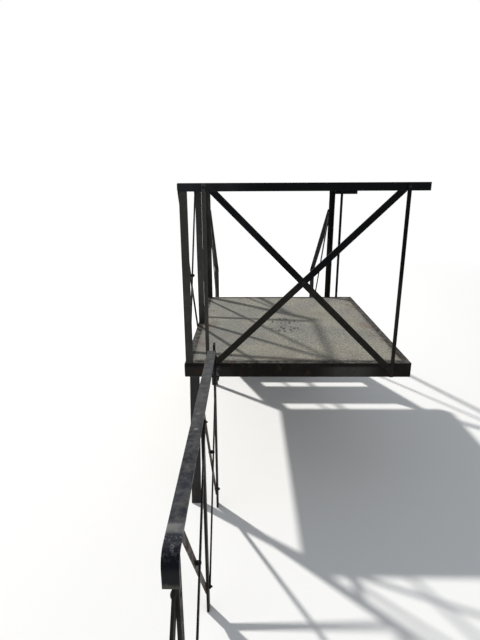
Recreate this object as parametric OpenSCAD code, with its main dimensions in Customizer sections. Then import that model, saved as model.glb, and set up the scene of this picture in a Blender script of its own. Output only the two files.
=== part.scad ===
/* [Landing] */
// Width of the landing, from the wall to its open side
landing_w = 1164; // [900:1:1500]
// Depth of the landing, along the wall
landing_d = 1420; // [1200:1:2000]
// Height of the walking surface above the feet
deck_h = 760; // [600:1:900]
// Height of the channels that frame the landing
channel_h = 76; // [70:1:120]
// Width of a channel's flanges
channel_flange = 38; // [30:1:50]
// Thickness of a channel's flanges
flange_t = 7; // [5:0.5:9]
// Thickness of a channel's web
web_t = 6; // [4:0.5:8]
// Height of the angles under the deck
joist_h = 30; // [25:1:35]
// Number of angles under the deck
joist_n = 3; // [2:1:4]

/* [Wall bolts] */
// Diameter of the holes in the wall ledger
anchor_d = 14; // [10:0.5:18]
// Spacing of the outer pair of ledger holes
anchor_outer = 1200; // [1100:1:1350]
// Spacing of the inner pair of ledger holes
anchor_inner = 400; // [300:1:600]

/* [Guards] */
// Height of the near and side guards above the deck, to the top of the rail
guard_h = 889; // [800:1:1100]
// Leg of the angles that make the posts, and depth of the flat rails on edge
angle_leg = 38; // [32:1:50]
// Thickness of those angles and rails
angle_t = 5; // [3:0.5:6]
// Width of the flat bars that brace the panels
brace_w = 32; // [25:1:45]
// Thickness of the brace bars
brace_t = 6; // [4:0.5:8]
// Diameter of the rivet where two braces cross
rivet_d = 16; // [10:0.5:20]
// Distance from the open side to the middle of the near guard's outer upright bar
post_inset = 120; // [60:1:250]
// Distance from the wall to the middle of the upright bar at that guard's wall end
wall_bar_x = 98; // [60:1:140]
// Width of those two upright bars
upright_w = 18; // [12:1:30]
// Distance from the outer upright's edge to the rising brace's foot
near_foot_in = 35; // [10:1:80]
// Distance from the outer upright's edge to the falling brace's head
near_head_in = 15; // [0:1:40]
// Distance from a side guard's post to the rising brace's foot
side_foot_in = 115; // [0:1:200]
// Height of the stub rail by the far wall post, above the deck
stub_h = 836; // [700:1:880]
// Depth of the stub rail's upright leg
stub_lip = 31; // [20:1:40]
// Distance from the wall to the thin bar under the stub rail
stub_bar_x = 121; // [70:1:160]
// Width of the thin bar
stub_bar_w = 18; // [10:1:24]

/* [Flight] */
// Width of the flight over its stringers
flight_w = 990; // [700:1:1000]
// Going of each step
going = 254; // [210:1:300]
// How far a tread's nose runs past the next riser line
nosing = 25; // [10:1:40]
// Thickness of the tread plate
tread_t = 5; // [3:0.5:8]
// Depth of the turned-down edges of a tread
tread_lip = 40; // [25:1:60]
// Thickness of a stringer
stringer_t = 8; // [6:0.5:12]
// Depth of a stringer, measured upright
stringer_v = 230; // [180:1:260]
// How far a stringer's top edge stands over the noses
stringer_lift = 30; // [20:1:60]
// Height of the handrails over the deck at their upper end
handrail_h = 690; // [650:1:840]
// Thickness of the handrail bars
handrail_t = 8; // [5:0.5:12]
// Clear distance from the last tread to the newels
newel_gap = 13; // [5:1:60]
// Width of the bars beside the flight
stair_brace_w = 25; // [20:1:40]
// How far those bars' ends stay in from the handrail and the stringer
stair_brace_in = 40; // [20:1:80]

/* [Legs] */
// Leg of the angles under the landing
leg_size = 50; // [38:1:60]
// Thickness of those angles
leg_t = 6; // [4:0.5:8]
// Distance of the legs from the open side
leg_inset = 24; // [10:1:60]
// How far the near leg's foot stands out in front of the landing
leg_rake = 123; // [0:1:160]

/* [Areaway guard] */
// Distance from the open side of the landing to the middle of the areaway guard
areaway_x = 164; // [120:1:300]
// Height of the areaway rail above the feet
areaway_h = 888; // [780:1:1000]
// Width of the areaway rail
areaway_rail_w = 40; // [32:1:50]
// How far the rail's middle lies outside the posts' middle
rail_shift = 10; // [0:1:12]
// Thickness of the areaway rail
areaway_rail_t = 10; // [8:0.5:14]
// Distance from the landing to the far post
areaway_far = 138; // [60:1:250]
// Distance between the areaway posts
areaway_bay = 612; // [500:1:800]
// Length of the rail past the near post
areaway_over = 32; // [30:1:120]
// Outer radius of the bend at the rail's end
bend_r = 36; // [24:1:60]
// How far the rail's end turns down
bend_drop = 87; // [70:1:140]
// Width of the areaway posts, along the rail
areaway_post_w = 38; // [30:1:50]
// Thickness of the areaway posts
areaway_post_t = 10; // [8:0.5:14]
// How far the far post stands over the rail
post_over = 27; // [10:1:60]
// Width of the areaway braces
areaway_brace_w = 25; // [20:1:40]
// Height of those braces' lower ends over the feet, on the posts' middle
brace_foot_h = 100; // [60:1:200]
// How far the rising braces' heads stay under the rail
rise_head_down = 25; // [20:1:80]
// Distance from a post's middle to the falling brace's head under the rail
fall_head_in = 78; // [40:1:120]
// Slope of the end stay
stay_angle = 52; // [45:1:70]
// How far the end stay's top lies under the rail
stay_down = 130; // [100:1:200]
// Thickness of the end stay
stay_t = 8; // [6:0.5:12]
// Height of the tie angle's lower edge over the feet
tie_h = 715; // [690:1:740]
// Width of the tie angle's flat leg
tie_w = 36; // [25:1:45]
// Depth of the tie angle's upright leg
tie_leg = 25; // [15:1:30]

/* [Hidden] */

paint = [0.10, 0.10, 0.11];
cement = [0.52, 0.51, 0.48];
rust = [0.25, 0.17, 0.12];

wall_x = 0;
open_x = wall_x - landing_w;
near_y = -landing_d / 2;
far_y = landing_d / 2;
deck_z = channel_h / 2;
frame_z = -channel_h / 2;
ground_z = deck_z - deck_h;
flange_top_z = frame_z + flange_t;
slab_z = flange_top_z + joist_h;
anchor_z = (flange_top_z + slab_z) / 2;

rail_z = deck_z + guard_h;
rail_mid_z = rail_z - angle_leg / 2;
post_top_z = rail_z - angle_t;
post_x = open_x + post_inset;
bar_x = wall_x - wall_bar_x;
near_panel_u = [post_x + upright_w / 2, bar_x - upright_w / 2];
brace_gap = angle_t;
cut = 1;

riser_n = 4;
riser = deck_h / riser_n;
slope = riser / going;
flight_x = open_x + flight_w;
newel_far_y = far_y + (riser_n - 1) * going + nosing + newel_gap;

areaway_mid_x = open_x + areaway_x;
areaway_far_y = near_y - areaway_far;
areaway_middle_y = areaway_far_y - areaway_bay;
areaway_near_y = areaway_middle_y - areaway_bay;
areaway_end_y = areaway_near_y - areaway_over;
areaway_rail_z = ground_z + areaway_h;
rail_under_z = areaway_rail_z - areaway_rail_t;

// A section drawn in Y and Z, run along X
module along_x(length) {
    rotate([90, 0, 90]) linear_extrude(length) children();
}

// A guard drawn in its own plane: along the rail, inward and up
module near_frame() {
    translate([0, near_y, 0]) children();
}

module left_frame() {
    translate([open_x, 0, 0]) mirror([1, -1, 0]) children();
}

// A channel with its web at the front, the flanges cut back at both ends
module channel(length, flange_cut) {
    cube([length, web_t, channel_h]);
    for (z = [0, channel_h - flange_t])
        translate([flange_cut, 0, z]) cube([length - 2 * flange_cut, channel_flange, flange_t]);
}

module angle_section(leg, thick) {
    polygon([[0, 0], [leg, 0], [leg, thick], [thick, thick], [thick, leg], [0, leg]]);
}

// An upright angle with its heel at the given corner of its square
module angle_post(leg, thick, height) {
    linear_extrude(height) angle_section(leg, thick);
}

// A flat rail on edge
module rail_bar(length) {
    translate([0, 0, -angle_leg]) cube([length, angle_t, angle_leg]);
}

// A flat bar between two points of the plane along and up
module flat_bar(from, to, wide, thick) {
    run = to - from;
    translate([from[0], 0, from[1]])
        rotate([0, -atan2(run[1], run[0]), 0])
            translate([0, 0, -wide / 2]) cube([norm(run), thick, wide]);
}

// A bar trimmed to a window of the plane
module trimmed_bar(from, to, wide, thick, low, high) {
    intersection() {
        flat_bar(from + (from - to) * 0.2, to + (to - from) * 0.2, wide, thick);
        translate([low[0], -cut, low[1]])
            cube([high[0] - low[0], thick + 2 * cut, high[1] - low[1]]);
    }
}

function crossing(a, b, c, d) =
    let (r = b - a, s = d - c, t = cross(c - a, s) / cross(r, s)) a + r * t;

// The outer brace of a guard panel, falling along the panel
module falling_brace(from_u, to_u, head_in) {
    translate([0, -brace_t, 0])
        trimmed_bar([from_u + head_in, rail_mid_z], [to_u, 0], brace_w, brace_t,
            [from_u, frame_z], [to_u, rail_z]);
}

// The inner brace of a guard panel, rising along the panel, with the rivet that holds the pair
module rising_brace(from_u, to_u, foot_in, head_in) {
    low = [from_u + foot_in, deck_z];
    high = [to_u, rail_mid_z];
    meet = crossing([from_u + head_in, rail_mid_z], [to_u, 0], low, high);
    translate([0, brace_gap, 0])
        trimmed_bar(low, high, brace_w, brace_t, [from_u, deck_z], [to_u, post_top_z]);
    translate([meet[0], 0, meet[1]])
        rotate([-90, 0, 0]) cylinder(h = brace_gap + brace_t / 2, d = rivet_d, $fn = 48);
}

// An upright flat bar lapped on the front of the near guard's channel and rail
module near_upright(middle_x) {
    color(paint) near_frame() translate([middle_x - upright_w / 2, -brace_t, frame_z])
        cube([upright_w, brace_t, rail_z - frame_z]);
}

module wall_ledger() {
    color(paint) difference() {
        translate([wall_x, near_y + web_t, frame_z]) rotate([0, 0, 90])
            channel(landing_d - 2 * web_t, channel_flange - web_t);
        for (y = [-anchor_outer / 2, -anchor_inner / 2, anchor_inner / 2, anchor_outer / 2])
            translate([wall_x - web_t - cut, y, anchor_z]) rotate([0, 90, 0])
                cylinder(h = web_t + 2 * cut, d = anchor_d, $fn = 48);
    }
}

module near_channel() {
    color(paint) translate([open_x, near_y, frame_z]) channel(landing_w, web_t);
}

module far_channel() {
    color(paint) translate([open_x, far_y, frame_z]) mirror([0, 1, 0]) channel(landing_w, web_t);
}

module outer_channel() {
    color(paint) translate([open_x, near_y + web_t, frame_z]) mirror([1, -1, 0])
        channel(landing_d - 2 * web_t, channel_flange - web_t);
}

module deck_joists() {
    bay = (landing_d - 2 * web_t) / (joist_n + 1);
    for (i = [1 : joist_n])
        color(paint) translate([open_x + web_t, near_y + web_t + i * bay, flange_top_z])
            along_x(landing_w - 2 * web_t)
                translate([0, joist_h]) mirror([0, 1]) angle_section(joist_h, angle_t);
}

module deck_slab() {
    color(cement) {
        translate([open_x + web_t, near_y + web_t, slab_z])
            cube([landing_w - 2 * web_t, landing_d - 2 * web_t, deck_z - flange_t - slab_z]);
        translate([open_x + channel_flange, near_y + channel_flange, slab_z])
            cube([landing_w - 2 * channel_flange, landing_d - 2 * channel_flange, deck_z - slab_z]);
    }
}

module near_top_rail() {
    color(paint) near_frame() translate([open_x, 0, rail_z]) rail_bar(landing_w);
}

module near_post() {
    near_upright(post_x);
}

module near_corner_post() {
    color(paint) near_frame() translate([open_x + angle_t, angle_t, deck_z])
        angle_post(angle_leg, angle_t, post_top_z - deck_z);
}

module near_wall_bar() {
    near_upright(bar_x);
}

module near_brace_rising() {
    color(paint) near_frame()
        rising_brace(near_panel_u[0], near_panel_u[1], near_foot_in, near_head_in);
}

module near_brace_falling() {
    color(paint) near_frame() falling_brace(near_panel_u[0], near_panel_u[1], near_head_in);
}

left_panel_u = [near_y + angle_t + angle_leg, -angle_leg / 2, angle_leg / 2, far_y - angle_leg];

module left_top_rail() {
    color(paint) left_frame() translate([near_y + angle_t, 0, rail_z])
        rail_bar(landing_d - angle_t);
}

module left_mid_post() {
    color(paint) left_frame() translate([-angle_leg / 2, angle_t, deck_z])
        angle_post(angle_leg, angle_t, post_top_z - deck_z);
}

module left_far_post() {
    color(paint) left_frame() translate([far_y, angle_t, deck_z]) mirror([1, 0, 0])
        angle_post(angle_leg, angle_t, post_top_z - deck_z);
}

module left_near_brace_rising() {
    color(paint) left_frame() rising_brace(left_panel_u[0], left_panel_u[1], side_foot_in, 0);
}

module left_near_brace_falling() {
    color(paint) left_frame() falling_brace(left_panel_u[0], left_panel_u[1], 0);
}

module left_far_brace_rising() {
    color(paint) left_frame() rising_brace(left_panel_u[2], left_panel_u[3], side_foot_in, 0);
}

module left_far_brace_falling() {
    color(paint) left_frame() falling_brace(left_panel_u[2], left_panel_u[3], 0);
}

module far_wall_post() {
    color(paint) translate([flight_x, far_y, deck_z]) rotate([0, 0, 180])
        angle_post(angle_leg, angle_t, stub_h - angle_t);
}

module far_stub_rail() {
    stub_w = wall_x - flight_x + angle_leg;
    color(paint) translate([wall_x - stub_w, far_y, deck_z + stub_h]) {
        translate([0, -angle_leg, -angle_t]) cube([stub_w, angle_leg + angle_t, angle_t]);
        translate([0, 0, -stub_lip]) cube([stub_w, angle_t, stub_lip]);
    }
}

module far_stub_bar() {
    bar_y = far_y - channel_flange / 2 - brace_t / 2;
    color(paint) translate([wall_x - stub_bar_x - stub_bar_w / 2, bar_y, deck_z])
        cube([stub_bar_w, brace_t, stub_h - angle_t]);
}

// The outline of a stringer, along the flight and up from the deck
module stringer_outline() {
    toe = riser_n * going - nosing;
    polygon([
        [0, 0],
        [stringer_lift / slope, 0],
        [toe, stringer_lift - slope * toe],
        [toe, -deck_h],
        [(deck_h + stringer_lift - stringer_v) / slope, -deck_h],
        [0, stringer_lift - stringer_v]
    ]);
}

module stringer(x) {
    color(paint) translate([x + stringer_t, far_y, deck_z])
        rotate([90, 0, 90]) mirror([0, 0, 1]) linear_extrude(stringer_t) stringer_outline();
}

module left_stringer() {
    stringer(open_x);
}

module right_stringer() {
    stringer(flight_x - stringer_t);
}

// A tread: a plate with its front and back edges turned down
module tread(k) {
    depth = going + nosing;
    color(paint) translate([open_x + stringer_t, far_y + (k - 1) * going, deck_z - k * riser])
        along_x(flight_w - 2 * stringer_t)
            polygon([
                [0, 0], [depth, 0], [depth, -tread_lip], [depth - tread_t, -tread_lip],
                [depth - tread_t, -tread_t], [tread_t, -tread_t], [tread_t, -tread_lip], [0, -tread_lip]
            ]);
}

module tread_1() {
    tread(1);
}

module tread_2() {
    tread(2);
}

module tread_3() {
    tread(3);
}

// Height of the handrail's top edge at a place along the flight
function handrail_z(y) = deck_z + handrail_h - slope * (y - far_y);

// A handrail bar over a stringer's inner side, from the landing's post to the newel
module handrail(x) {
    end_y = newel_far_y + angle_leg;
    color(paint) translate([x, 0, 0])
        along_x(angle_leg)
            polygon([
                [far_y, handrail_z(far_y)],
                [end_y, handrail_z(end_y)],
                [end_y, handrail_z(end_y) - handrail_t],
                [far_y, handrail_z(far_y) - handrail_t]
            ]);
}

module left_handrail() {
    handrail(open_x + stringer_t);
}

module right_handrail() {
    handrail(flight_x - stringer_t - angle_leg);
}

// A newel on the ground, its top cut to the handrail's slope
module newel(x, side) {
    past_y = newel_far_y + 2 * angle_leg;
    color(paint) difference() {
        translate([x, newel_far_y, ground_z]) mirror([side < 0 ? 1 : 0, 0, 0])
            angle_post(angle_leg, angle_t, deck_h + handrail_h);
        translate([x - angle_leg - cut, 0, 0])
            along_x(2 * (angle_leg + cut))
                polygon([
                    [far_y, handrail_z(far_y) - handrail_t],
                    [past_y, handrail_z(past_y) - handrail_t],
                    [past_y, handrail_z(far_y) + handrail_t],
                    [far_y, handrail_z(far_y) + handrail_t]
                ]);
    }
}

module left_newel() {
    newel(open_x + stringer_t, 1);
}

module right_newel() {
    newel(flight_x - stringer_t, -1);
}

// A bar beside the flight, flush with the landing post's inner edge, from under the
// handrail's upper end down to the newel's foot
module stair_brace(x) {
    head_z = handrail_z(far_y) - stair_brace_in;
    foot_z = deck_z + stringer_lift + stair_brace_in - slope * (newel_far_y - far_y);
    color(paint) translate([x, 0, 0]) mirror([1, -1, 0])
        trimmed_bar([far_y, head_z], [newel_far_y, foot_z], stair_brace_w, brace_t,
            [far_y, ground_z], [newel_far_y, rail_z]);
}

module left_stair_brace() {
    stair_brace(open_x + angle_leg - brace_t);
}

module right_stair_brace() {
    stair_brace(flight_x - angle_leg);
}

// A leg under a corner of the landing, its foot out in front by the given rake
module landing_leg(y, rake) {
    height = frame_z - ground_z;
    color(paint) intersection() {
        translate([open_x + leg_inset, y, frame_z]) rotate([-atan(rake / height), 0, 0])
            translate([0, 0, -2 * height]) angle_post(leg_size, leg_t, 3 * height);
        translate([open_x + leg_inset, y - rake - leg_size, ground_z])
            cube([leg_size, rake + 3 * leg_size, height]);
    }
}

module near_leg() {
    landing_leg(near_y, leg_rake);
}

module far_leg() {
    landing_leg(far_y - leg_size, 0);
}

// The flat rail, butted on the far post, its near end bent down
module areaway_top_rail() {
    outer = [areaway_end_y, areaway_rail_z];
    butt_y = areaway_far_y - areaway_post_w / 2;
    color(paint) translate([areaway_mid_x - rail_shift - areaway_rail_w / 2, 0, 0])
        along_x(areaway_rail_w) {
            translate(outer + [bend_r, -areaway_rail_t])
                square([butt_y - areaway_end_y - bend_r, areaway_rail_t]);
            translate(outer + [bend_r, -bend_r]) difference() {
                intersection() {
                    circle(r = bend_r, $fn = 96);
                    translate([-bend_r, 0]) square(bend_r);
                }
                circle(r = bend_r - areaway_rail_t, $fn = 96);
            }
            translate(outer + [0, -bend_drop]) square([areaway_rail_t, bend_drop - bend_r]);
        }
}

module areaway_post(y, height) {
    color(paint) translate([areaway_mid_x - areaway_post_t / 2, y - areaway_post_w / 2, ground_z])
        cube([areaway_post_t, areaway_post_w, height]);
}

module areaway_far_post() {
    areaway_post(areaway_far_y, areaway_h + post_over);
}

module areaway_middle_post() {
    areaway_post(areaway_middle_y, areaway_h - areaway_rail_t);
}

// The near post, its top cut to the underside of the bend
module areaway_near_post() {
    color(paint) difference() {
        areaway_post(areaway_near_y, areaway_h - areaway_rail_t);
        areaway_top_rail();
    }
}

function areaway_rise(from_y) =
    [[from_y, ground_z + brace_foot_h], [from_y + areaway_bay, rail_under_z - rise_head_down]];

function areaway_fall(from_y) =
    [[from_y + fall_head_in, rail_under_z], [from_y + areaway_bay, ground_z + brace_foot_h]];

// The brace on the posts' house side, rising along a bay, with the rivet that holds the pair
module areaway_rising(from_y) {
    rise = areaway_rise(from_y);
    fall = areaway_fall(from_y);
    meet = crossing(fall[0], fall[1], rise[0], rise[1]);
    side_x = areaway_mid_x + areaway_post_t / 2 + brace_t;
    color(paint) {
        translate([side_x, 0, 0]) rotate([0, 0, 90])
            flat_bar(rise[0], rise[1], areaway_brace_w, brace_t);
        translate([side_x - brace_t / 2, meet[0], meet[1]]) rotate([0, -90, 0])
            cylinder(h = areaway_post_t + brace_t / 2, d = rivet_d, $fn = 48);
    }
}

// The brace on their yard side, falling from the rail's underside to the next post
module areaway_falling(from_y) {
    fall = areaway_fall(from_y);
    color(rust) translate([areaway_mid_x - areaway_post_t / 2, 0, 0]) rotate([0, 0, 90])
        trimmed_bar(fall[0], fall[1], areaway_brace_w, brace_t, [from_y, ground_z],
            [fall[1][0] + areaway_post_w / 2, rail_under_z]);
}

module areaway_far_brace_rising() {
    areaway_rising(areaway_middle_y);
}

module areaway_far_brace_falling() {
    areaway_falling(areaway_middle_y);
}

module areaway_near_brace_rising() {
    areaway_rising(areaway_near_y);
}

module areaway_near_brace_falling() {
    areaway_falling(areaway_near_y);
}

// A raking bar lapped on the near post's outer side
module areaway_end_stay() {
    top = [areaway_near_y, areaway_rail_z - stay_down];
    toe = [top[0] - (top[1] - ground_z) / tan(stay_angle), ground_z];
    color(paint) translate([areaway_mid_x - areaway_post_t / 2, 0, 0]) rotate([0, 0, 90])
        trimmed_bar(toe, top, areaway_post_w, stay_t, [toe[0] - areaway_post_w, ground_z],
            [areaway_near_y + areaway_post_w / 2, top[1] + areaway_post_w / 2]);
}

// A short angle from the far post to the landing's near channel
module areaway_tie() {
    start_y = areaway_far_y + areaway_post_w / 2;
    color(paint) translate([areaway_mid_x + tie_w / 2, start_y, ground_z + tie_h + tie_leg])
        mirror([1, 0, 0]) mirror([0, 0, 1]) {
            cube([tie_w, near_y - start_y, angle_t]);
            cube([angle_t, near_y - start_y, tie_leg]);
        }
}

wall_ledger();
near_channel();
far_channel();
outer_channel();
deck_joists();
deck_slab();
near_top_rail();
near_post();
near_corner_post();
near_wall_bar();
near_brace_rising();
near_brace_falling();
left_top_rail();
left_mid_post();
left_far_post();
left_near_brace_rising();
left_near_brace_falling();
left_far_brace_rising();
left_far_brace_falling();
far_wall_post();
far_stub_rail();
far_stub_bar();
left_stringer();
right_stringer();
tread_1();
tread_2();
tread_3();
left_handrail();
right_handrail();
left_newel();
right_newel();
left_stair_brace();
right_stair_brace();
near_leg();
far_leg();
areaway_top_rail();
areaway_far_post();
areaway_middle_post();
areaway_near_post();
areaway_far_brace_rising();
areaway_far_brace_falling();
areaway_near_brace_rising();
areaway_near_brace_falling();
areaway_end_stay();
areaway_tie();
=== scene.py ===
import math
import random
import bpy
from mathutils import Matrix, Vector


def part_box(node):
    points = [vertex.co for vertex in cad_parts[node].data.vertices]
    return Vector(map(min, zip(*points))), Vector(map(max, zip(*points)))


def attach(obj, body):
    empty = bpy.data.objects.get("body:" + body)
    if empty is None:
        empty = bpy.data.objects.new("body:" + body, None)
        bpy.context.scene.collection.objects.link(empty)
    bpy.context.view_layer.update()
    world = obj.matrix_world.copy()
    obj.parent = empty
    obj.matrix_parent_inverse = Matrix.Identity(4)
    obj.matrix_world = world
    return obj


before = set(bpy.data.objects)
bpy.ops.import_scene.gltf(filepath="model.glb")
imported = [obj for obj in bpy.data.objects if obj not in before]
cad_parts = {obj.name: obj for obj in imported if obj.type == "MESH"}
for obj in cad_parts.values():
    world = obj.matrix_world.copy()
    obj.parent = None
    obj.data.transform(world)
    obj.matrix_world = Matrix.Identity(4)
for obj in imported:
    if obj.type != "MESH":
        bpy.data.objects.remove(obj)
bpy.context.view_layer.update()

from fnmatch import fnmatchcase

import bmesh
import bpy
from mathutils import Matrix, Vector


# ---------------------------------------------------------------- measures of the part, in metres
def lo(node):
    """The low corner of a node's box."""
    return Vector(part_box(node)[0])


def hi(node):
    """The high corner of a node's box."""
    return Vector(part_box(node)[1])


def span(base, start, end):
    """Two places along an axis, as steps from a base."""
    return base + start, base + end


# X runs to the house wall, Y away from the camera and Z up
OPEN = lo("near_channel").x
WALL = hi("near_channel").x
NEAR = lo("near_channel").y
FAR = hi("far_channel").y
GROUND = lo("left_newel").z
DECK = hi("deck_slab").z
RAIL = hi("near_top_rail").z
RAIL_MID = RAIL - 0.019
# a weld bead's ends on a channel's web
WEB_FOOT, WEB_HEAD = span(DECK, -0.074, -0.002)

HOUSEWARD, YARDWARD = (1, 0, 0), (-1, 0, 0)
FARWARD, NEARWARD = (0, 1, 0), (0, -1, 0)


# ---------------------------------------------------------------- camera, as solved from the photo
CAMERA_AT = (-0.8455, -2.8741, 0.9242)
PITCH_YAW_ROLL = (16.8131, 0.8563, -0.2878)
FOCAL_PIXELS = 451.92
PHOTO_HEIGHT = 640
SENSOR = 36
CLIP_END = 200


def add_camera():
    pitch, yaw, roll = (math.radians(a) for a in PITCH_YAW_ROLL)
    forward = Vector((-math.sin(yaw) * math.cos(pitch), math.cos(yaw) * math.cos(pitch), -math.sin(pitch)))
    level = Vector((math.cos(yaw), math.sin(yaw), 0))
    above = level.cross(forward)
    right = math.cos(roll) * level + math.sin(roll) * above
    up = -math.sin(roll) * level + math.cos(roll) * above
    data = bpy.data.cameras.new("photo_camera")
    data.sensor_width = SENSOR
    data.sensor_height = SENSOR
    data.sensor_fit = "AUTO"
    data.lens = SENSOR * FOCAL_PIXELS / PHOTO_HEIGHT
    data.clip_end = CLIP_END
    cam = bpy.data.objects.new("photo_camera", data)
    turn = Matrix((right, up, -forward)).transposed()
    cam.matrix_world = Matrix.Translation(CAMERA_AT) @ turn.to_4x4()
    bpy.context.scene.collection.objects.link(cam)
    bpy.context.scene.camera = cam


# ---------------------------------------------------------------- node helper
# the colour sockets of a Mix node
MIX_FACTOR, MIX_A, MIX_B, MIX_RESULT = 0, 6, 7, 2


def rgba(value):
    """A colour of three numbers with its alpha; anything else as it is."""
    if isinstance(value, tuple) and len(value) == 3:
        return (*value, 1.0)
    return value


class Nodes:
    """Short hand for building one material's node tree.

    The methods that make a value, a mask or a colour return an output socket, and finish returns the material."""

    def __init__(self, name):
        self.mat = bpy.data.materials.new(name)
        self.mat.use_nodes = True
        self.tree = self.mat.node_tree
        self.tree.nodes.clear()
        self.out = self.add("ShaderNodeOutputMaterial")
        self.coord = self.add("ShaderNodeTexCoord").outputs["Object"]
        self.normal = self.add("ShaderNodeNewGeometry").outputs["Normal"]

    def add(self, kind, **values):
        node = self.tree.nodes.new(kind)
        for key, value in values.items():
            setattr(node, key, value)
        return node

    def link(self, source, socket):
        self.tree.links.new(source, socket)

    def feed(self, socket, value):
        """Link the socket to an output, or set it to a value."""
        if isinstance(value, bpy.types.NodeSocket):
            self.link(value, socket)
        else:
            socket.default_value = value

    # numbers
    def math(self, op, *values, clamp=False):
        node = self.add("ShaderNodeMath", operation=op, use_clamp=clamp)
        for socket, value in zip(node.inputs, values):
            self.feed(socket, value)
        return node.outputs[0]

    def mul(self, a, b):
        return self.math("MULTIPLY", a, b)

    def plus(self, a, b, clamp=False):
        return self.math("ADD", a, b, clamp=clamp)

    def less(self, a, b):
        return self.math("SUBTRACT", a, b)

    def ramp(self, value, start, end, low=0.0, high=1.0):
        """A smooth step from low to high between start and end, which may run either way."""
        node = self.add("ShaderNodeMapRange", interpolation_type="SMOOTHSTEP")
        for name, v in (("Value", value), ("From Min", start), ("From Max", end), ("To Min", low), ("To Max", high)):
            self.feed(node.inputs[name], v)
        return node.outputs["Result"]

    def fall(self, value, start, end, high=1.0, low=0.0):
        """A smooth step down from high to low."""
        return self.ramp(value, start, end, high, low)

    def between(self, value, rise, fall):
        """1 from the end of the rise to the start of the fall, 0 outside them."""
        return self.mul(self.ramp(value, *rise), self.fall(value, *fall))

    # places and directions
    def part(self, vector, axis):
        split = self.add("ShaderNodeSeparateXYZ")
        self.link(vector, split.inputs[0])
        return split.outputs["XYZ".index(axis)]

    def facing(self, axis):
        """How far the surface faces along an axis, -1 to 1."""
        return self.part(self.normal, axis)

    def place(self, axis):
        return self.part(self.coord, axis)

    def patch_at(self, x, y, wide, long, core):
        """1 up to the core of an oval patch seen from above, 0 outside the patch."""
        across = self.math("DIVIDE", self.less(self.place("X"), x), wide)
        along = self.math("DIVIDE", self.less(self.place("Y"), y), long)
        reach = self.math("SQRT", self.plus(self.mul(across, across), self.mul(along, along)))
        return self.fall(reach, core, 1.0)

    def edges(self, radius=0.0022):
        """1 on the arrises and 0 on the flats."""
        soft = self.add("ShaderNodeBevel", samples=4)
        soft.inputs["Radius"].default_value = radius
        dot = self.add("ShaderNodeVectorMath", operation="DOT_PRODUCT")
        self.link(soft.outputs[0], dot.inputs[0])
        self.link(self.normal, dot.inputs[1])
        return self.ramp(self.less(1.0, dot.outputs["Value"]), 0.01, 0.16)

    # textures
    def mapped(self, stretch, shift):
        """The object's coordinates, stretched and shifted."""
        if stretch is None and not any(shift):
            return self.coord
        mapping = self.add("ShaderNodeMapping")
        mapping.inputs["Scale"].default_value = stretch or (1, 1, 1)
        mapping.inputs["Location"].default_value = shift
        self.link(self.coord, mapping.inputs["Vector"])
        return mapping.outputs[0]

    def noise(self, scale, detail, rough=0.55, warp=0.0, stretch=None, shift=(0, 0, 0)):
        coord = self.mapped(stretch, shift)
        node = self.add("ShaderNodeTexNoise")
        self.link(coord, node.inputs["Vector"])
        node.inputs["Scale"].default_value = scale
        node.inputs["Detail"].default_value = detail
        node.inputs["Roughness"].default_value = rough
        node.inputs["Distortion"].default_value = warp
        return node.outputs["Fac"]

    def dots(self, scale, core, rim, stretch=None):
        """Round spots, one to a cell: 1 within the core, 0 past the rim."""
        coord = self.mapped(stretch, (0, 0, 0))
        node = self.add("ShaderNodeTexVoronoi", feature="F1")
        self.link(coord, node.inputs["Vector"])
        node.inputs["Scale"].default_value = scale
        return self.fall(node.outputs["Distance"], core, rim)

    # colours
    def mix(self, fac, a, b):
        node = self.add("ShaderNodeMix", data_type="RGBA")
        self.feed(node.inputs[MIX_FACTOR], fac)
        self.feed(node.inputs[MIX_A], rgba(a))
        self.feed(node.inputs[MIX_B], rgba(b))
        return node.outputs[MIX_RESULT]

    def over(self, color, tone, mask, weight=None):
        """The colour with a tone laid over it where the mask is."""
        if weight is not None:
            mask = self.mul(mask, weight)
        return self.mix(mask, color, tone)

    # surface
    def bump(self, height, distance, strength):
        node = self.add("ShaderNodeBump")
        node.inputs["Strength"].default_value = strength
        node.inputs["Distance"].default_value = distance
        self.link(height, node.inputs["Height"])
        return node.outputs["Normal"]

    def finish(self, color, rough, normal, metallic=0.0, specular=0.5):
        shader = self.add("ShaderNodeBsdfPrincipled")
        self.feed(shader.inputs["Base Color"], rgba(color))
        self.feed(shader.inputs["Roughness"], rough)
        self.feed(shader.inputs["Metallic"], metallic)
        shader.inputs["Specular IOR Level"].default_value = specular
        self.link(normal, shader.inputs["Normal"])
        self.link(shader.outputs[0], self.out.inputs["Surface"])
        return self.mat


# ---------------------------------------------------------------- paint on steel
BLACK = (0.0026, 0.0030, 0.0041)
WORN = (0.016, 0.017, 0.0175)
RUBBED = (0.12, 0.118, 0.112)
FILM = (0.0185, 0.0168, 0.0132)
DUST = (0.150, 0.145, 0.132)
RUST = (0.085, 0.034, 0.014)
DARK_RUST = (0.030, 0.013, 0.007)
RUST_HALO = (0.026, 0.017, 0.012)

# the upper edge of the guards' film, at the height of the crossings
FILM_EDGE = span(DECK, 0.400, 0.485)
# how far the rust's weight widens its spots
RUST_REACH = 0.16

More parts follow.
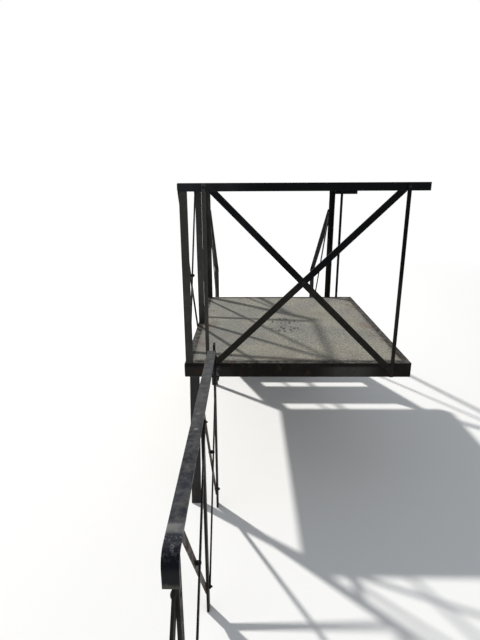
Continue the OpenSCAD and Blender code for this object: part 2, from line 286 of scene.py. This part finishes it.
# Marks on the near side: ramps along X, a ramp up Z and the colour. A ramp is start, end, low, high
DEEP_BLACK = (0.0006, 0.0007, 0.0012)
CHALK = (0.0225, 0.0235, 0.0285)
BLEACHED = (0.048, 0.0473, 0.042)
UPPER_HALF = span(DECK, 0.42, 0.50)
RAIL_ONLY = span(RAIL, -0.042, -0.038)
BELOW_LIP = (*span(DECK, -0.028, -0.014), 1.0, 0.0)
GUARD_MARKS = (
    (((-0.86, -0.72, 0.0, 0.85),), UPPER_HALF, DEEP_BLACK),
    (((-0.80, -0.94, 0.0, 0.50),), RAIL_ONLY, CHALK),
    (((-1.04, -1.12, 0.0, 0.45),), RAIL_ONLY, CHALK),
)
FASCIA_MARKS = (
    (((-0.50, -0.33, 0.0, 0.95), (-0.27, -0.13, 1.0, 0.0)), BELOW_LIP, BLEACHED),
    (((-0.87, -0.97, 0.0, 0.30),), BELOW_LIP, BLEACHED),
)
NEAR_SIDE = span(NEAR, 0.020, 0.045)

# Wear on the areaway's rail, from the outside of its bend (Y_BEND) and from its cut end below (Z_CUT), and a painted
# highlight on its top by the landing
Y_BEND, Z_CUT = lo("areaway_top_rail").y, lo("areaway_top_rail").z
PAINTED_TOP_LIGHT, PAINTED_TOP_LIGHT_FROM = (0.155, 0.155, 0.139), span(NEAR, -0.98, -0.76)
NAVY, NAVY_GREY = (0.0012, 0.0015, 0.0050), (0.013, 0.0165, 0.026)
NAVY_FADES, FRESH_ENDS = span(Y_BEND, 0.004, 0.060), span(Y_BEND, 0.062, 0.080)
BAND, BAND_RISE, BAND_FALL = (0.185, 0.186, 0.180), span(Y_BEND, 0.066, 0.076), span(Y_BEND, 0.094, 0.106)
FLAKE, FLAKE_RISE, FLAKE_FALL = (0.118, 0.124, 0.130), span(Y_BEND, -0.002, 0.022), span(Y_BEND, 0.070, 0.090)
CUT_END, CUT_END_EDGE = (0.030, 0.030, 0.029), span(Z_CUT, 0.030, 0.062)
CUT_LIP, CUT_LIP_EDGE = (0.082, 0.084, 0.070), span(Z_CUT, 0.005, 0.017)
NICK = (0.30, 0.30, 0.28)
# X, Y, half width, half length, weight
NICKS = ((-1.013, -1.480, 0.010, 0.0062, 0.42), (-1.009, -1.581, 0.010, 0.0076, 0.62))


def rail_wear(n, color, height, top, patch, fine, brush, flakes):
    """The colour and height with the wear that the photo shows along the areaway's rail."""
    along = n.place("Y")
    # painted highlight: the top face is paler by the landing, standing in for sunlight on it
    color = n.over(color, PAINTED_TOP_LIGHT, n.mul(top, n.ramp(along, *PAINTED_TOP_LIGHT_FROM, 0.0, 0.19)))
    # darker touched-up paint over the bend, up to a pale band, and flakes gone from it
    fresh = n.fall(along, *FRESH_ENDS)
    navy = n.mix(n.mul(n.ramp(along, *NAVY_FADES), n.ramp(brush, 0.35, 0.65, 0.35, 1.0)), NAVY, NAVY_GREY)
    color = n.over(color, navy, fresh, 0.88)
    color = n.over(color, BAND, n.between(along, BAND_RISE, BAND_FALL), n.ramp(patch, 0.34, 0.58, 0.35, 0.75))
    torn = n.ramp(n.noise(105.0, 7.0, 0.85, shift=(5, 5, 0)), 0.515, 0.580)
    sparse = n.ramp(n.noise(9.0, 3.0, 0.6, shift=(2, 5, 0)), 0.60, 0.68, 0.0, 0.35)
    torn = n.mul(torn, n.plus(n.between(along, FLAKE_RISE, FLAKE_FALL), sparse, clamp=True))
    flake = n.mul(torn, n.ramp(n.facing("Z"), 0.2, 0.6))
    color = n.over(color, FLAKE, flake, flakes)
    for x, y, wide, long, weight in NICKS:
        nick = n.mul(n.patch_at(x, y, wide, long, core=0.3), n.ramp(fine, 0.34, 0.58, 0.25, 1.0))
        color = n.over(color, NICK, nick, weight)
    # the cut end below is paler, and paler still in streaks at its lower rim
    up = n.place("Z")
    color = n.over(color, CUT_END, n.fall(up, *CUT_END_EDGE, 0.35))
    streak = n.less(n.noise(70.0, 5.0, 0.7, stretch=(1, 1, 0.3), shift=(1, 6, 2)), 0.5)
    color = n.over(color, CUT_LIP, n.fall(n.plus(up, n.mul(streak, -0.030)), *CUT_LIP_EDGE, 0.85))
    return color, n.less(height, n.mul(flake, 1.2))


def painted_steel(name, base=BLACK, worn=WORN, tint=None, rust=0.35, dust=0.5, gloss=0.36, rub=0.75, soiled=0.0,
                  marks=(), flakes=0.0):
    """Brushed-on paint on mill steel, chalked by weather, rubbed on its arrises and rusting through.

    The weights are of rust, of dust, of rub on the bare arrises, of the film on the lower half (soiled) and of the
    flakes gone from the areaway's rail, which brings in the rest of that rail's wear, a painted highlight on its top
    and painted shade on its side towards +X. marks is as GUARD_MARKS."""
    n = Nodes(name)
    broad = n.noise(5.0, 3.0)
    patch = n.noise(26.0, 6.0, 0.6)
    fine = n.noise(210.0, 4.0, 0.6)
    brush = n.noise(60.0, 3.0, 0.5, stretch=(1, 1, 0.12))
    edge = n.edges()
    color = n.mix(n.ramp(broad, 0.35, 0.68), base, tint or tuple(1.7 * c for c in base))
    color = n.over(color, worn, n.ramp(patch, 0.52, 0.74), 0.38)
    color = n.over(color, worn, n.ramp(brush, 0.48, 0.78), 0.18)
    if soiled:
        # splashed and handled up to the height of the crossings
        film = n.fall(n.plus(n.place("Z"), n.mul(broad, 0.06)), *FILM_EDGE, soiled)
        color = n.over(color, FILM, film, n.ramp(patch, 0.32, 0.62, 0.55, 1.0))
    for across, height, tone in marks:
        mark = n.mul(n.fall(n.place("Y"), *NEAR_SIDE), n.ramp(n.place("Z"), *height))
        for bounds in across:
            mark = n.mul(mark, n.ramp(n.place("X"), *bounds))
        color = n.over(color, tone, mark, n.ramp(patch, 0.32, 0.62, 0.75, 1.0))
    rubbed = n.mul(edge, n.ramp(n.noise(34.0, 5.0, 0.65), 0.40, 0.62))
    # painted shade: on the areaway's rail the arrises of faces towards +X are rubbed less, so that side stays dark
    if flakes:
        rubbed = n.mul(rubbed, n.fall(n.facing("X"), 0.3, 0.7, 1.0, 0.15))
    color = n.over(color, RUBBED, rubbed, rub)
    # dust settles on what faces up and is washed off in streaks
    top = n.ramp(n.facing("Z"), 0.55, 0.95)
    settled = n.mul(n.mul(top, n.ramp(n.noise(38.0, 6.0, 0.68), 0.34, 0.70)), dust)
    color = n.over(color, DUST, settled)
    speck = n.mul(n.dots(420.0, 0.0, 0.22), n.ramp(patch, 0.45, 0.7))
    color = n.over(color, DUST, speck, 0.35)
    # rust breaks through in spots, more on the arrises and low down
    seed = n.noise(17.0, 7.0, 0.72, warp=0.4, shift=(3, 1, 2))
    low = n.ramp(n.place("Z"), GROUND + 0.30, GROUND, 0.0, 0.09)
    reach = n.plus(n.plus(seed, n.mul(edge, 0.07)), low)
    opened = RUST_REACH * rust
    spots = n.ramp(reach, 0.735 - opened, 0.790 - opened)
    halo = n.ramp(reach, 0.66 - opened, 0.76 - opened)
    color = n.over(color, RUST_HALO, halo, 0.45)
    color = n.over(color, n.mix(n.ramp(fine, 0.35, 0.65), DARK_RUST, RUST), spots, 0.9)
    height = n.plus(n.mul(fine, 0.35), n.mul(brush, 0.8))
    rough = n.ramp(patch, 0.30, 0.75, gloss, gloss + 0.26)
    rough = n.plus(rough, n.mul(spots, 0.30), clamp=True)
    rough = n.plus(rough, n.mul(settled, 0.25), clamp=True)
    if flakes:
        color, height = rail_wear(n, color, height, top, patch, fine, brush, flakes)
    height = n.plus(height, n.mul(spots, n.mul(fine, 2.4)))
    return n.finish(color, rough, n.bump(height, 0.00035, 0.7), specular=0.06)


# ---------------------------------------------------------------- cement, bolts and welds
SAND_DARK, SAND_PALE = (0.078, 0.076, 0.064), (0.292, 0.283, 0.242)
STONE_DARK, STONE_PALE = (0.058, 0.056, 0.049), (0.410, 0.394, 0.335)
MOTTLE, DAMP = (0.212, 0.206, 0.182), (0.107, 0.103, 0.089)
PAINTED_SUNLIGHT, PAINTED_SHADE = (0.320, 0.292, 0.228), (0.150, 0.152, 0.146)
WHITE_GRIT, PIT, CRUMB = (0.51, 0.495, 0.44), (0.030, 0.028, 0.025), (0.055, 0.030, 0.017)
GRIME, RUST_STAIN = (0.062, 0.055, 0.046), (0.105, 0.058, 0.032)
# the cluster of dark bits near the deck's middle: X, Y, half width, half length, core
BIT, BITS_AT = (0.016, 0.013, 0.011), (-0.598, -0.050, 0.125, 0.175, 0.7)

ZINC_DARK, ZINC_PALE, ZINC_EDGE = (0.0030, 0.0033, 0.0040), (0.0105, 0.0100, 0.0095), (0.060, 0.057, 0.053)
WELD_BROWN = (0.030, 0.024, 0.019)


def cement():
    """A trowelled cement deck: fine grit, darker damp stains, dirt and rust specks, with painted sunlight and shade in
    broad patches.
    """
    n = Nodes("cement_deck")
    sand = n.noise(420.0, 3.0, 0.7)
    grit = n.noise(150.0, 5.0, 0.68)
    mottled = n.noise(34.0, 6.0, 0.68)
    broad = n.noise(4.2, 4.0, 0.55, warp=0.5)
    coarse = n.noise(78.0, 4.0, 0.72, shift=(4, 1, 0))
    color = n.mix(n.ramp(grit, 0.34, 0.66), SAND_DARK, SAND_PALE)
    color = n.over(color, STONE_DARK, n.ramp(coarse, 0.50, 0.60), 0.78)
    color = n.over(color, STONE_PALE, n.ramp(coarse, 0.47, 0.37), 0.65)
    color = n.over(color, MOTTLE, n.ramp(mottled, 0.42, 0.66), 0.55)
    color = n.over(color, DAMP, n.ramp(broad, 0.48, 0.66), 0.50)
    # painted sunlight and shade: warm patches and cool grey patches laid at random over the deck
    sun_and_shade_noise = n.noise(2.6, 3.0, 0.5, shift=(7, 3, 0))
    color = n.over(color, PAINTED_SUNLIGHT, n.ramp(sun_and_shade_noise, 0.42, 0.62, 0.0, 0.24))
    color = n.over(color, PAINTED_SHADE, n.ramp(sun_and_shade_noise, 0.53, 0.38, 0.0, 0.30))
    color = n.over(color, WHITE_GRIT, n.dots(160.0, 0.0, 0.26), n.mul(n.ramp(sand, 0.4, 0.6), 0.85))
    pits = n.dots(85.0, 0.04, 0.17)
    color = n.over(color, PIT, pits, n.ramp(mottled, 0.45, 0.62))
    field = n.ramp(n.noise(5.5, 3.0, 0.6, shift=(2, 7, 0)), 0.50, 0.60)
    color = n.over(color, CRUMB, n.dots(26.0, 0.03, 0.10), field)
    bits = n.math("MAXIMUM", n.dots(34.0, 0.24, 0.34, stretch=(1.0, 0.42, 1.0)),
                  n.dots(41.0, 0.25, 0.35, stretch=(1.1, 0.40, 0.7)))
    color = n.over(color, BIT, n.mul(bits, n.patch_at(*BITS_AT)), 0.9)
    # grime along the channels at the slab's edge
    x, y = n.place("X"), n.place("Y")
    rim = n.math("MINIMUM", n.math("MINIMUM", n.less(x, OPEN), n.less(WALL, x)),
                 n.math("MINIMUM", n.less(y, NEAR), n.less(FAR, y)))
    rim = n.plus(rim, n.mul(n.less(n.noise(14.0, 4.0, 0.65), 0.5), 0.08))
    color = n.over(color, GRIME, n.fall(rim, 0.036, 0.062, 0.60))
    stain = n.mul(n.fall(rim, 0.03, 0.16), n.ramp(n.noise(8.0, 4.0, 0.6, shift=(1, 4, 0)), 0.52, 0.66))
    color = n.over(color, RUST_STAIN, stain, 0.6)
    height = n.plus(grit, n.less(n.mul(sand, 0.4), n.mul(pits, 0.8)))
    rough = n.ramp(mottled, 0.3, 0.7, 0.78, 0.95)
    return n.finish(color, rough, n.bump(height, 0.0014, 0.9), specular=0.3)


def bolt_steel():
    """The heads of bolts: zinc gone dull under thin paint."""
    n = Nodes("bolt_steel")
    patch = n.noise(140.0, 5.0, 0.7)
    fine = n.noise(700.0, 3.0)
    edge = n.edges(0.0009)
    color = n.mix(n.ramp(patch, 0.40, 0.64), ZINC_DARK, ZINC_PALE)
    color = n.over(color, ZINC_EDGE, edge, 0.35)
    color = n.over(color, DARK_RUST, n.ramp(n.noise(95.0, 6.0, 0.7, shift=(1, 2, 3)), 0.58, 0.68, 0.0, 0.6))
    rough = n.ramp(patch, 0.3, 0.7, 0.38, 0.62)
    return n.finish(color, rough, n.bump(fine, 0.0002, 0.6), metallic=n.mul(edge, 0.3), specular=0.14)


def weld_paint():
    """Beads under the same black paint, browner and rusting."""
    n = Nodes("weld_paint")
    patch = n.noise(120.0, 5.0, 0.7)
    color = n.mix(n.ramp(patch, 0.42, 0.66), BLACK, WELD_BROWN)
    color = n.over(color, RUST, n.ramp(n.noise(75.0, 6.0, 0.7, shift=(2, 2, 1)), 0.55, 0.66, 0.0, 0.8))
    return n.finish(color, n.ramp(patch, 0.3, 0.7, 0.35, 0.6), n.bump(n.noise(500.0, 3.0), 0.0003, 0.7))


def looks():
    """The materials with the names of the nodes that they go on. The first match counts."""
    return (
        (cement(), ("deck_slab",)),
        (painted_steel("fascia_paint", base=(0.0062, 0.0054, 0.0048), worn=(0.024, 0.021, 0.018), rust=0.80, dust=0.75,
                       gloss=0.5, marks=FASCIA_MARKS), ("*_channel", "wall_ledger", "deck_joists")),
        (painted_steel("tread_paint", base=(0.012, 0.012, 0.012), worn=(0.10, 0.098, 0.092), rust=0.75, dust=0.9,
                       gloss=0.42), ("tread_*",)),
        (painted_steel("rusty_paint", base=(0.020, 0.0135, 0.010), worn=(0.055, 0.044, 0.036), rust=1.25, dust=0.4),
         ("areaway_*_brace_falling",)),
        (painted_steel("areaway_rail_paint", base=(0.0085, 0.0100, 0.0165), worn=(0.060, 0.064, 0.070),
                       tint=(0.022, 0.025, 0.036), rust=0.2, dust=0.42, gloss=0.30, flakes=0.8), ("areaway_top_rail",)),
        # painted light: the posts' black paint has a paler base that stands in for sunlight on their faces
        (painted_steel("post_paint", base=(0.036, 0.0365, 0.033), worn=(0.085, 0.083, 0.076), rust=0.4, gloss=0.50,
                       rub=0.28), ("near_post", "near_corner_post", "left_mid_post", "left_far_post")),
        # painted light: the legs' and newels' black paint has a paler base that stands in for sunlight on their faces
        (painted_steel("leg_paint", base=(0.028, 0.0285, 0.0275), worn=(0.064, 0.062, 0.058), rust=0.45, gloss=0.46),
         ("*_leg", "*_newel")),
        (painted_steel("yard_post_paint", base=(0.0145, 0.0142, 0.0130), worn=(0.046, 0.045, 0.041), rust=0.4,
                       gloss=0.46), ("areaway_*_post", "areaway_end_stay")),
        (painted_steel("guard_paint", base=(0.0021, 0.0025, 0.0036), rust=0.30, dust=0.55, soiled=0.95,
                       marks=GUARD_MARKS), ("near_*", "left_*", "far_*")),
        (painted_steel("black_paint"), ("*",)),
    )


def dress_nodes():
    table = looks()
    for name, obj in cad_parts.items():
        mat = next(look for look, patterns in table if any(fnmatchcase(name, p) for p in patterns))
        if not obj.material_slots:
            obj.data.materials.append(mat)
        for slot in obj.material_slots:
            slot.material = mat


# ---------------------------------------------------------------- shapes of the fastenings
# Domed heads: radius and height
DOME = {
    "guard": (0.0095, 0.0052),
    "upright": (0.0075, 0.0040),
    "upright foot": (0.0080, 0.0045),
    "crossing": (0.0085, 0.0022),
    "stringer": (0.0092, 0.0048),
    "areaway": (0.0070, 0.0034),
    "areaway back": (0.0060, 0.0018),
    "stay": (0.0105, 0.0062),
    "stay back": (0.0058, 0.0016),
}
# Nuts: radius over the corners and height
NUT = {
    "guard": (0.0095, 0.0075),
    "crossing": (0.0085, 0.0075),
    "areaway": (0.0052, 0.0044),
    "areaway foot": (0.0070, 0.0062),
    "ledger": (0.0115, 0.0085),
}
# Weld beads' radii, and the step between a bead's rings
FILLET, POST_BEAD, TRIM_BEAD, NEWEL_BEAD, CORNER_BEAD, BAR_BEAD = 0.0034, 0.0032, 0.0030, 0.0028, 0.0026, 0.0024
BEAD_STEP = 0.0022

# Heights of bolts on the guards: the uprights' heads and feet, and the feet of the rising bars
UPRIGHT_HEAD, UPRIGHT_FOOT = RAIL - 0.020, DECK - 0.038
RISING_FOOT = DECK + 0.024
# and of the wall ledger, with their places along it
LEDGER_BOLT_Z, LEDGER_BOLTS = -0.016, (-0.6, -0.2, 0.2, 0.6)


def frame_at(spot, axis):
    """A matrix that takes +Z to the axis, at the spot."""
    return Matrix.Translation(spot) @ Vector(axis).to_track_quat("Z", "Y").to_matrix().to_4x4()


def turned(bm, place, rings, sides=24):
    """Rings of (radius of corner, height, how hexagonal) joined to a closed solid."""
    loops = []
    for radius, height, hexed in rings:
        loop = []
        for i in range(sides):
            a = 2 * math.pi * i / sides
            flat = math.cos(math.pi / 6) / math.cos(a % (math.pi / 3) - math.pi / 6)
            r = radius * (1 + hexed * (flat - 1))
            loop.append(bm.verts.new(place @ Vector((r * math.cos(a), r * math.sin(a), height))))
        loops.append(loop)
    for a, b in zip(loops, loops[1:]):
        for i in range(sides):
            bm.faces.new((a[i], a[(i + 1) % sides], b[(i + 1) % sides], b[i]))
    bm.faces.new(list(reversed(loops[0])))
    bm.faces.new(loops[-1])


def dome(bm, spot, axis, kind):
    """A carriage bolt's domed head, let into the bar by a hair."""
    r, h = DOME[kind]
    sunk, collar, steps = -0.0008, 0.0006, 7
    rings = [(r, sunk, 0), (r, collar, 0)]
    for k in range(1, steps):
        a = k / steps * math.pi / 2
        rings.append((r * math.cos(a), collar + h * math.sin(a), 0))
    turned(bm, frame_at(spot, axis), rings)


def nut(bm, spot, axis, kind, turn=0.0):
    """A washer, a chamfered nut and the bolt's end through it."""
    r, h = NUT[kind]
    place = frame_at(spot, axis) @ Matrix.Rotation(turn, 4, "Z")
    turned(bm, place, [(r * 1.35, -0.0006, 0), (r * 1.35, 0.0012, 0), (r * 1.28, 0.0017, 0)], 32)
    turned(bm, place, [(r * 0.93, 0.0014, 0.4), (r, 0.0022, 1), (r, h - 0.0008, 1), (r * 0.92, h, 0.35),
                       (r * 0.60, h, 0), (r * 0.56, h - 0.0008, 0)])
    turned(bm, place, [(r * 0.53, h - 0.002, 0), (r * 0.53, h + 0.0026, 0), (r * 0.42, h + 0.0034, 0)], 16)


def bead(bm, start, end, r, seed):
    """A weld bead from point to point, thinner at its ends, with even ripples and a small random part."""
    rand = random.Random(seed)
    start, end = Vector(start), Vector(end)
    run = end - start
    steps = max(6, int(run.length / BEAD_STEP))
    rings = []
    for i in range(steps + 1):
        t = i / steps
        taper = min(1.0, 0.35 + 5 * min(t, 1 - t))
        ripple = 1 + 0.13 * math.sin(i * 2.4) + rand.uniform(-0.07, 0.07)
        rings.append((r * taper * ripple, run.length * t, 0))
    turned(bm, frame_at(start, run), rings, 10)


def rivet(node, axis):
    """The middle of a rivet, from its free end, which stands out of the bar along the axis."""
    i = "xyz".index(axis)
    end = lo(node)[i]
    ring = [v.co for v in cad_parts[node].data.vertices if abs(v.co[i] - end) < 1e-4]
    return Vector([(min(c[k] for c in ring) + max(c[k] for c in ring)) / 2 for k in range(3)])


# ---------------------------------------------------------------- where the fastenings are
def near_guard_bolts(bm):
    outer, inner = lo("near_brace_falling").y, hi("near_brace_rising").y
    front = lo("near_wall_bar").y
    post_mid = (lo("near_post").x + hi("near_post").x) / 2
    bar = lo("near_wall_bar").x
    bar_mid = bar + 0.009
    # the falling bar's head, the flat upright, the falling bar's foot and the thin bar at the wall
    dome(bm, (hi("near_post").x + 0.018, outer, RAIL_MID - 0.003), NEARWARD, "guard")
    for z in (UPRIGHT_HEAD, UPRIGHT_FOOT):
        dome(bm, (post_mid, front, z), NEARWARD, "upright")
    dome(bm, (bar - 0.020, outer, DECK - 0.026), NEARWARD, "guard")
    dome(bm, (bar_mid, front, UPRIGHT_HEAD), NEARWARD, "upright")
    dome(bm, (bar_mid, front, UPRIGHT_FOOT), NEARWARD, "upright foot")
    # the rising bar's foot and head, and the crossing
    nut(bm, (lo("near_brace_rising").x + 0.040, inner, RISING_FOOT), FARWARD, "guard")
    nut(bm, (bar - 0.022, inner, RAIL_MID - 0.016), FARWARD, "guard")
    cross = rivet("near_brace_rising", "y")
    dome(bm, (cross.x, outer, cross.z), NEARWARD, "crossing")
    nut(bm, (cross.x, inner, cross.z), FARWARD, "crossing")


def left_guard_bolts(bm):
    for panel in ("near", "far"):
        fall, rise = "left_%s_brace_falling" % panel, "left_%s_brace_rising" % panel
        inner = hi(rise).x
        cross = rivet(rise, "x")
        nut(bm, (inner, lo(rise).y + 0.036, RISING_FOOT), HOUSEWARD, "guard")
        nut(bm, (inner, hi(fall).y - 0.022, RAIL_MID - 0.018), HOUSEWARD, "guard")
        nut(bm, (inner, cross.y, cross.z), HOUSEWARD, "crossing")


def flight_bolts(bm):
    """Each tread is bolted through both stringers."""
    for step in (1, 2, 3):
        a, b = lo("tread_%d" % step), hi("tread_%d" % step)
        for y in (a.y + 0.055, b.y - 0.060):
            dome(bm, (lo("left_stringer").x, y, b.z - 0.020), YARDWARD, "stringer")
            dome(bm, (hi("right_stringer").x, y, b.z - 0.020), HOUSEWARD, "stringer")


def areaway_bolts(bm):
    yard, house = lo("areaway_far_brace_falling").x, hi("areaway_far_brace_rising").x
    posts = {w: (lo("areaway_%s_post" % w) + hi("areaway_%s_post" % w)) / 2 for w in ("far", "middle", "near")}
    # the falling bars are bolted this far over their feet
    over_foot = 0.052
    for bay, start, end in (("near", "near", "middle"), ("far", "middle", "far")):
        fall, rise = "areaway_%s_brace_falling" % bay, "areaway_%s_brace_rising" % bay
        cross = rivet(rise, "x")
        dome(bm, (yard, cross.y, cross.z), YARDWARD, "areaway")
        dome(bm, (house, cross.y, cross.z), HOUSEWARD, "areaway back")
        dome(bm, (yard, posts[end].y, lo(fall).z + over_foot), YARDWARD, "areaway")
        nut(bm, (house, posts[start].y + 0.004, lo(rise).z + 0.014), HOUSEWARD, "areaway")
        nut(bm, (house, posts[end].y - 0.004, hi(rise).z - 0.014), HOUSEWARD, "areaway")
    stay = hi("areaway_end_stay").z - 0.026
    dome(bm, (lo("areaway_end_stay").x, posts["near"].y, stay), YARDWARD, "stay")
    dome(bm, (hi("areaway_near_post").x, posts["near"].y, stay), HOUSEWARD, "stay back")
    foot = lo("areaway_far_brace_falling").z + over_foot
    nut(bm, (hi("areaway_far_post").x, posts["far"].y, foot), HOUSEWARD, "areaway foot")


def ledger_bolts(bm):
    for y in LEDGER_BOLTS:
        nut(bm, (WALL - 0.006, y, LEDGER_BOLT_Z), YARDWARD, "ledger", turn=y)


def weld_runs():
    """Each bead's start, end and radius. Its number in this order is the seed of its ripples."""
    runs = []

    def run(a, b, r=FILLET):
        runs.append((a, b, r))

    # the guards' posts stand on the channels' flanges
    for post in ("near_corner_post", "left_mid_post", "left_far_post"):
        a, b = lo(post), hi(post)
        run((a.x, a.y, DECK), (b.x, a.y, DECK))
        run((a.x, a.y, DECK), (a.x, b.y, DECK))
    a, b = lo("far_wall_post"), hi("far_wall_post")
    run((a.x, b.y, DECK), (b.x, b.y, DECK))
    run((b.x, a.y, DECK), (b.x, b.y, DECK))
    # the rails meet at the near left corner, and so do the channels
    corner = lo("left_top_rail").y
    run((OPEN, corner, RAIL - 0.036), (OPEN, corner, RAIL - 0.002), BAR_BEAD)
    run((OPEN, NEAR + 0.001, WEB_FOOT), (OPEN, NEAR + 0.001, WEB_HEAD), CORNER_BEAD)
    # the handrails, against the landing's posts and on the newels
    for side in ("left", "right"):
        a, b = lo(side + "_handrail"), hi(side + "_handrail")
        run((a.x, FAR + 0.001, b.z), (b.x, FAR + 0.001, b.z), TRIM_BEAD)
        a, b = lo(side + "_newel"), hi(side + "_newel")
        run((a.x, a.y, b.z - 0.001), (b.x, a.y, b.z - 0.001), NEWEL_BEAD)
    # the legs under the channels' flanges
    for leg in ("near_leg", "far_leg"):
        a, b = lo(leg), hi(leg)
        y = NEAR if leg == "near_leg" else a.y
        run((a.x, y, b.z), (b.x, y, b.z))
        run((a.x, y, b.z), (a.x, y + 0.048, b.z))
    # the areaway's posts under and beside their rail
    a, b = lo("areaway_middle_post"), hi("areaway_middle_post")
    run((a.x, a.y, b.z), (a.x, b.y, b.z), POST_BEAD)
    run((b.x, a.y, b.z), (b.x, b.y, b.z), POST_BEAD)
    a, b = lo("areaway_far_post"), hi("areaway_far_post")
    top = hi("areaway_top_rail").z
    run((a.x, a.y, top), (b.x, a.y, top), TRIM_BEAD)
    run((a.x, a.y, top - 0.010), (b.x, a.y, top - 0.010), TRIM_BEAD)
    # the tie, on the fascia and on the far post
    t0, t1 = lo("areaway_tie"), hi("areaway_tie")
    run((t1.x, NEAR, t0.z), (t1.x, NEAR, t1.z), TRIM_BEAD)
    run((t0.x + 0.002, NEAR, t1.z), (t1.x - 0.002, NEAR, t1.z), TRIM_BEAD)
    run((a.x, b.y, t1.z), (b.x, b.y, t1.z), TRIM_BEAD)
    # the stringers on the far channel, and the bars beside the flight between the landing's posts and the newels
    for side in ("left", "right"):
        a, b = lo(side + "_stringer"), hi(side + "_stringer")
        x = b.x if side == "left" else a.x
        run((x, FAR, WEB_FOOT), (x, FAR, WEB_HEAD))
    for side in ("left", "right"):
        a, b = lo(side + "_stair_brace"), hi(side + "_stair_brace")
        x = b.x if side == "left" else a.x
        run((x, a.y, b.z - 0.042), (x, a.y, b.z - 0.003), BAR_BEAD)
        run((x, b.y, a.z + 0.003), (x, b.y, a.z + 0.042), BAR_BEAD)
    return runs


def weld_beads(bm):
    for seed, (start, end, r) in enumerate(weld_runs(), 1):
        bead(bm, start, end, r, seed)


def add_fastenings(name, build, mat):
    """One mesh of small parts that rides on the part's root."""
    bm = bmesh.new()
    build(bm)
    bmesh.ops.recalc_face_normals(bm, faces=bm.faces)
    mesh = bpy.data.meshes.new(name)
    bm.to_mesh(mesh)
    bm.free()
    for polygon in mesh.polygons:
        polygon.use_smooth = True
    obj = bpy.data.objects.new(name, mesh)
    obj.data.materials.append(mat)
    bpy.context.scene.collection.objects.link(obj)
    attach(obj, "root")


def fasten():
    bolt, weld = bolt_steel(), weld_paint()
    add_fastenings("near_guard_bolts", near_guard_bolts, bolt)
    add_fastenings("left_guard_bolts", left_guard_bolts, bolt)
    add_fastenings("flight_bolts", flight_bolts, bolt)
    add_fastenings("areaway_bolts", areaway_bolts, bolt)
    add_fastenings("ledger_bolts", ledger_bolts, bolt)
    add_fastenings("weld_beads", weld_beads, weld)


# ---------------------------------------------------------------- stage and light
FLOOR_RADIUS, FLOOR_SIDES = 40, 96
FLOOR_MIDDLE = (-0.5, 0, GROUND - 0.001)
FLOOR_COLOR = (0.84, 0.84, 0.83)
# the floor's own look gives way to white between these distances
FLOOR_FADES = (3.0, 9.0)
WHITE = (1, 1, 1)
FILL_COLOR, FILL_STRENGTH = (0.90, 0.94, 1.0), 0.42

# what the lights aim at
MIDDLE = (-0.6, 0.0, 0.0)
# name, place, diameter, watts, colour
LIGHTS = (
    ("key", (-14.55, 11.84, 16.0), 0.95, 7300, (1.0, 0.975, 0.94)),
    ("front_fill", (2.8, -5.5, 3.2), 4.0, 38, (0.94, 0.97, 1.0)),
)


def background_rays(tree):
    """1 for the rays that show the background: the camera's, and those that metal and glass pass on."""
    path = tree.nodes.new("ShaderNodeLightPath")
    seen = path.outputs["Is Camera Ray"]
    for ray in ("Is Glossy Ray", "Is Transmission Ray"):
        either = tree.nodes.new("ShaderNodeMath")
        either.operation = "MAXIMUM"
        tree.links.new(seen, either.inputs[0])
        tree.links.new(path.outputs[ray], either.inputs[1])
        seen = either.outputs[0]
    return seen


def floor_look():
    """Matte near the part, to take its shadow, and plain white further off."""
    n = Nodes("studio_floor")
    far = n.add("ShaderNodeVectorMath", operation="LENGTH")
    n.link(n.coord, far.inputs[0])
    away = n.ramp(far.outputs["Value"], *FLOOR_FADES)
    matte = n.add("ShaderNodeBsdfDiffuse")
    matte.inputs["Color"].default_value = rgba(FLOOR_COLOR)
    glow = n.add("ShaderNodeEmission")
    glow.inputs["Color"].default_value = rgba(WHITE)
    glow.inputs["Strength"].default_value = 1.0
    blend = n.add("ShaderNodeMixShader")
    n.link(n.mul(away, background_rays(n.tree)), blend.inputs[0])
    n.link(matte.outputs[0], blend.inputs[1])
    n.link(glow.outputs[0], blend.inputs[2])
    n.link(blend.outputs[0], n.out.inputs["Surface"])
    return n.mat


def add_floor():
    bm = bmesh.new()
    bmesh.ops.create_circle(bm, cap_ends=True, segments=FLOOR_SIDES, radius=FLOOR_RADIUS)
    bmesh.ops.translate(bm, verts=bm.verts, vec=FLOOR_MIDDLE)
    mesh = bpy.data.meshes.new("floor")
    bm.to_mesh(mesh)
    bm.free()
    floor = bpy.data.objects.new("floor", mesh)
    bpy.context.scene.collection.objects.link(floor)
    floor.data.materials.append(floor_look())


def add_world():
    """White to the camera, and a plain soft fill to the part."""
    world = bpy.data.worlds.new("studio")
    bpy.context.scene.world = world
    world.use_nodes = True
    tree = world.node_tree
    tree.nodes.clear()
    out = tree.nodes.new("ShaderNodeOutputWorld")
    shown = tree.nodes.new("ShaderNodeBackground")
    shown.inputs["Color"].default_value = rgba(WHITE)
    fill = tree.nodes.new("ShaderNodeBackground")
    fill.inputs["Color"].default_value = rgba(FILL_COLOR)
    fill.inputs["Strength"].default_value = FILL_STRENGTH
    mix = tree.nodes.new("ShaderNodeMixShader")
    tree.links.new(background_rays(tree), mix.inputs[0])
    tree.links.new(fill.outputs[0], mix.inputs[1])
    tree.links.new(shown.outputs[0], mix.inputs[2])
    tree.links.new(mix.outputs[0], out.inputs["Surface"])


def add_light(name, spot, size, power, color):
    data = bpy.data.lights.new(name, "AREA")
    data.shape = "DISK"
    data.size = size
    data.energy = power
    data.color = color
    lamp = bpy.data.objects.new(name, data)
    aim = Vector(MIDDLE) - Vector(spot)
    lamp.matrix_world = Matrix.Translation(spot) @ aim.to_track_quat("-Z", "Y").to_matrix().to_4x4()
    bpy.context.scene.collection.objects.link(lamp)


add_camera()
dress_nodes()
fasten()
add_floor()
add_world()
for light in LIGHTS:
    add_light(*light)
bpy.context.scene.view_settings.view_transform = "Standard"
